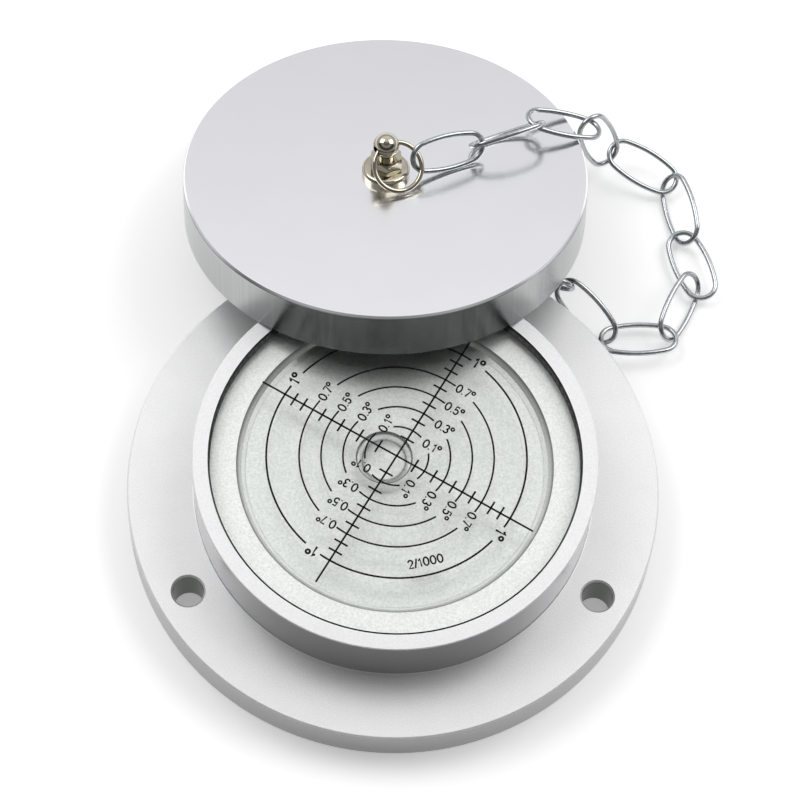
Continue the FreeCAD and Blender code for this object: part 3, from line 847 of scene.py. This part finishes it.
FIGURES = {
    "0": (0.78, [arc(0.36, 0.50, 0.28, 0.47, 0, 360, 24)]),
    "1": (0.58, [[(0.10, 0.74), (0.24, 0.82), (0.34, 0.99), (0.34, 0.0)]]),
    "2": (0.72, [arc(0.31, 0.70, 0.24, 0.27, 170, -25) + [(0.08, 0.04), (0.58, 0.04)]]),
    "3": (0.70, [arc(0.30, 0.74, 0.21, 0.23, 160, -90) + arc(0.30, 0.27, 0.25, 0.24, 90, -160)]),
    "5": (0.70, [[(0.52, 0.96), (0.15, 0.96), (0.09, 0.50)] + arc(0.30, 0.32, 0.25, 0.29, 135, -155)]),
    "7": (0.68, [[(0.06, 0.96), (0.56, 0.96), (0.24, 0.0)]]),
    ".": (0.32, [[(0.12, 0.0), (0.12, 0.12)]]),
    "/": (0.38, [[(0.02, -0.04), (0.32, 1.02)]]),
    "°": (0.52, [arc(0.24, 0.80, 0.18, 0.18, 0, 360, 16)]),
}


def figure_paths(words, height):
    """The pen paths of a row of figures, centred on the origin, as a mesh of edges."""
    width = sum(FIGURES[letter][0] for letter in words)
    points = []
    edges = []
    left = 0.0
    for letter in words:
        advance, strokes = FIGURES[letter]
        for stroke in strokes:
            first = len(points)
            closed = math.dist(stroke[0], stroke[-1]) < 1e-6
            kept = stroke[:-1] if closed else stroke
            points += [((left + x - width / 2) * height, (y - 0.5) * height, 0) for x, y in kept]
            edges += [(first + step, first + step + 1) for step in range(len(kept) - 1)]
            if closed:
                edges.append((len(points) - 1, first))
        left += advance
    mesh = bpy.data.meshes.new(words)
    mesh.from_pydata(points, edges, [])
    return mesh


# %% [markdown]
# The nib is a rectangle that follows each path. It is as thick as the film, so that the figures lie in
# one level with the rings.

# %% Pen
def pen_tree():
    """Follow every path with a flat nib."""
    tree, graph, value = new_tree("pen", ("Nib", "Film"), takes_shape=True)
    path = graph.add("GeometryNodeMeshToCurve", None, in0=value["Shape"])
    nib = graph.add("GeometryNodeCurvePrimitiveQuadrilateral", {"mode": "RECTANGLE"},
                    in0=value["Nib"], in1=value["Film"])
    line = graph.add("GeometryNodeCurveToMesh", None, Curve=path.outputs[0], in1=nib.outputs[0],
                     Fill_Caps=True)
    end_tree(graph, line.outputs[0], ink)
    return tree


pen = pen_tree()


def figures(words, height, nib):
    """The mesh of a row of figures, this high and with this nib."""
    return run_tree(words, pen, {"Nib": nib, "Film": FILM}, figure_paths(words, height))


# %% [markdown]
# Each ring's number stands beside the arm, on the clockwise side, with its top outwards. Its place is a
# step to the side and a rise along the arm, in millimetres. Between the last two rings stands the plain
# ratio 2/1000.

# %% Numbers beside the arms
NUMBER_H = 2.0 * MM
DEGREE_H = 2.5 * MM
NUMBER_NIB = 0.38 * MM
DEGREE_NIB = 0.50 * MM
LABEL_SIDE = {0.1: 5.59, 0.3: 5.68, 0.5: 5.38, 0.7: 5.34, 1.0: 4.47}
LABEL_RISE = {0.1: 5.93, 0.3: 11.31, 0.5: 16.3, 0.7: 21.3, 1.0: 28.76}
RATIO_SPOT = Vector((8.3 * MM, -23.9 * MM, 0))
RATIO_TURN = math.radians(17.6)
film_lift = Vector((0, 0, film_height))

number_meshes = []
number_places = []
for degrees, rise in LABEL_RISE.items():
    whole = degrees == 1.0
    mesh = figures("1°", DEGREE_H, DEGREE_NIB) if whole else figures(f"{degrees}°", NUMBER_H, NUMBER_NIB)
    beside = Matrix.Translation((LABEL_SIDE[degrees] * MM, rise * MM, 0))
    for quarter in range(4):
        turn = Matrix.Rotation(PRINT_TURN + QUARTER * (quarter - 1), 4, "Z")
        number_meshes.append(mesh)
        number_places.append(Matrix.Translation(PRINT_SPOT + film_lift) @ turn @ beside)
number_meshes.append(figures("2/1000", NUMBER_H, NUMBER_NIB))
number_places.append(Matrix.Translation(RATIO_SPOT + film_lift) @ Matrix.Rotation(RATIO_TURN, 4, "Z"))
printed_piece("printed_numbers", number_meshes, number_places)

# %% [markdown]
# ## Floor
#
# The level lies on a plain white sheet. White paint alone renders as pale grey, so the sheet also glows
# a little, but only to the eye, to mirrors and through glass. The light that it throws on the object
# stays that of the paint, and the object's shadow still shows on it.

# %% Floor
FLOOR_REACH = 3.0
FLOOR_WHITE = rgb(0.93, 0.93, 0.93)
FLOOR_LIFT = 0.33


def seen(graph):
    """1 for the rays by which the eye, a mirror or a glass sees a surface, and 0 for light on it."""
    path = graph.add("ShaderNodeLightPath")
    kinds = ("Is Camera Ray", "Is Glossy Ray", "Is Transmission Ray")
    camera_ray, glossy_ray, glass_ray = (Signal(graph.tree, path.outputs[kind]) for kind in kinds)
    return camera_ray.most(glossy_ray).most(glass_ray)


def floor_sheet():
    """White, and lifted a little to the eye, so that it reaches white and keeps the shadow."""
    material, graph = new_material("floor_white")
    shader = graph.add("ShaderNodeBsdfDiffuse", None, Color=FLOOR_WHITE)
    glow = graph.mix(seen(graph), rgb(0, 0, 0), rgb(FLOOR_LIFT, FLOOR_LIFT, FLOOR_LIFT))
    lift = graph.add("ShaderNodeEmission", None, Color=glow, Strength=1.0)
    close_material(graph, graph.add("ShaderNodeAddShader", None, in0=shader.outputs[0],
                                    in1=lift.outputs[0]))
    mesh = bpy.data.meshes.new("floor")
    corners = [(x * FLOOR_REACH, y * FLOOR_REACH, 0) for x, y in ((-1, -1), (1, -1), (1, 1), (-1, 1))]
    mesh.from_pydata(corners, [], [(0, 1, 2, 3)])
    mesh.materials.append(material)
    floor = bpy.data.objects.new("floor", mesh)
    scene.collection.objects.link(floor)


floor_sheet()

# %% [markdown]
# ## Room
#
# Polished metal looks like what it mirrors, so the room matters more than the lamps. The level lies in
# a dome that is bright behind it and mostly dark on the viewer's side. From the viewer, the flat faces
# and the lid's top mirror the bright side and the front walls the dark one, so the collar's front is
# dark below its pale rim. A colour ramp over the height draws each side, and a soft step from front to
# back mixes the two.

# %% Room
LIGHT_SIDE = [(0.0, 0.46, 0.03), (0.34, 0.62, 0.03), (0.50, 0.98, 0.005), (0.72, 0.92, 0), (1.0, 0.88, 0)]
DARK_SIDE = [
    (0.0, 0.40, 0), (0.22, 0.34, 0), (0.40, 0.05, 0), (0.58, 0.06, 0),
    (0.74, 0.36, 0), (0.84, 0.36, 0), (0.93, 0.12, 0), (1.0, 0.28, 0),
]
BEHIND_FROM = 0.10
BEHIND_SOFT = 0.36


def dome_side(graph, up, stops):
    """A grey for each height in the dome, given as height, level and a touch of blue."""
    shades = [(height, (level, level, level + blue)) for height, level, blue in stops]
    return graph.signal("ShaderNodeValToRGB", {"stops": shades}, 0, Fac=up)


def room():
    """A dome that is bright behind the object and mostly dark on the viewer's side."""
    world = bpy.data.worlds.new("room")
    world.use_nodes = True
    world.node_tree.nodes.clear()
    graph = Graph(world.node_tree)
    direction = graph.signal("ShaderNodeTexCoord", output=0)
    split = graph.add("ShaderNodeSeparateXYZ", None, Vector=direction)
    behind = Signal(graph.tree, split.outputs[1]).above(BEHIND_FROM, BEHIND_SOFT)
    up = Signal(graph.tree, split.outputs[2])
    smooth = behind * behind * (3 - behind * 2)
    light = graph.mix(smooth, dome_side(graph, up, DARK_SIDE), dome_side(graph, up, LIGHT_SIDE))
    lit = graph.add("ShaderNodeBackground", None, Color=light, Strength=1.0)
    out = graph.add("ShaderNodeOutputWorld")
    graph.tree.links.new(lit.outputs[0], out.inputs[0])
    scene.world = world
    print("room: heights on the dark side", [height for height, level, blue in DARK_SIDE])


room()

# %% [markdown]
# ## Lamps
#
# Two square panels stand left and right, a little behind the level. They give the base its shadows and
# the lid's skirt its bright ends. They are large, so that the shadows are soft, and weak enough that the
# pale faces keep their grain.

# %% Lamps
LAMP_REACH = 1.3
LAMP_SIDE = 0.75
LAMP_WATTS = 4.5
LAMP_HEADING = 62
LAMP_LIFT = math.radians(50)


def panel(heading):
    """A square soft lamp that faces the object from this heading, in degrees from +Y."""
    data = bpy.data.lights.new(f"panel_{heading}", "AREA")
    data.shape = "SQUARE"
    data.size = LAMP_SIDE
    data.energy = LAMP_WATTS
    lamp = bpy.data.objects.new(f"panel_{heading}", data)
    flat = LAMP_REACH * math.cos(LAMP_LIFT)
    turn = math.radians(heading)
    lamp.location = (flat * math.sin(turn), flat * math.cos(turn), LAMP_REACH * math.sin(LAMP_LIFT))
    lamp.rotation_mode = "QUATERNION"
    lamp.rotation_quaternion = (-lamp.location).to_track_quat("-Z", "Y")
    scene.collection.objects.link(lamp)


for side in (-1, 1):
    panel(side * LAMP_HEADING)
print("lamps:", [lamp.name for lamp in bpy.data.lights])

# %% [markdown]
# ## Camera
#
# The camera was fitted to the outlines of the flange, the collar, the dial's rings and the lid. It looks
# down at 66 degrees from 0.73 m away through a long lens, and it is rolled by 4.4 degrees.

# %% Camera
CAMERA_SPOT = Vector((0, -274.7 * MM, 672.5 * MM))
CAMERA_TIP = math.radians(90 - 65.94)
CAMERA_ROLL = math.radians(4.385)
LENS_MM = 143.06
camera_data = bpy.data.cameras.new("camera")
camera_data.sensor_width = 36
camera_data.lens = LENS_MM
camera = bpy.data.objects.new("camera", camera_data)
camera_turn = Matrix.Rotation(CAMERA_TIP, 4, "X") @ Matrix.Rotation(CAMERA_ROLL, 4, "Z")
camera.matrix_world = Matrix.Translation(CAMERA_SPOT) @ camera_turn
scene.collection.objects.link(camera)
scene.camera = camera
print("camera stands", round(CAMERA_SPOT.length, 3), "m from the level's middle")
